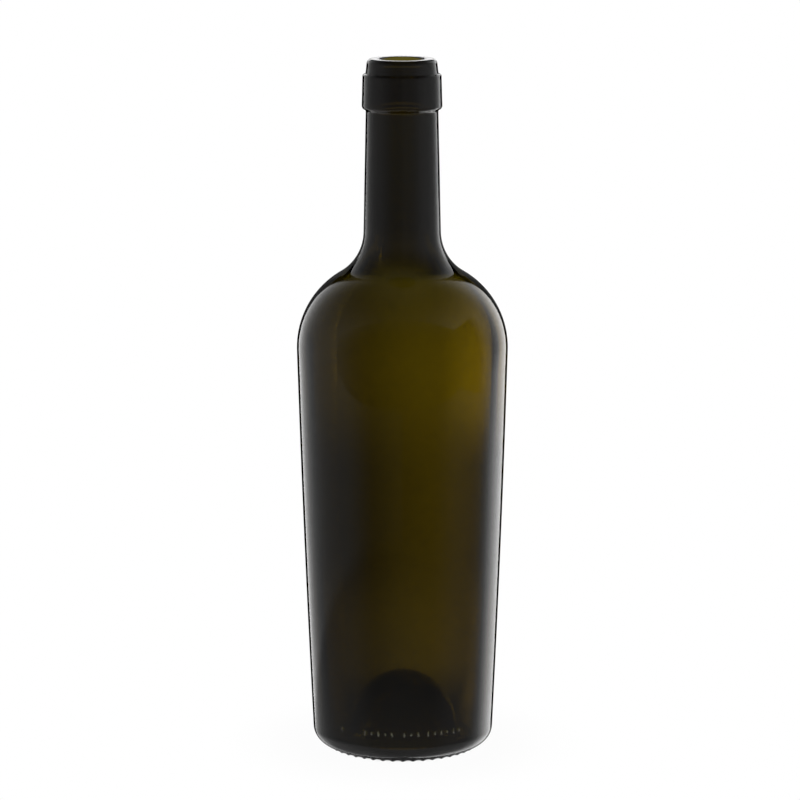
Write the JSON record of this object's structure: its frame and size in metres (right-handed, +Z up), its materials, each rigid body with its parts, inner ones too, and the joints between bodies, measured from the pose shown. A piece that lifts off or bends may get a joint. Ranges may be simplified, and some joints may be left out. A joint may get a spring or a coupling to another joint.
{
  "type": "wine bottle",
  "caption": "Empty open wine bottle of dark olive glass, with a tapered body, round shoulders, slim neck, ringed mouth, deep punt and knurled foot.",
  "frame": {"origin": "on the bottle's axis, in the plane it stands on", "axes": "+Z up along the bottle's axis towards the mouth; X and Y across it, alike all round"},
  "size_m": [0.0894, 0.0894, 0.295],
  "materials": {
    "glass": "gloss"
  },
  "bodies": {
    "root": {"bottle": "glass"}
  },
  "joints": []
}
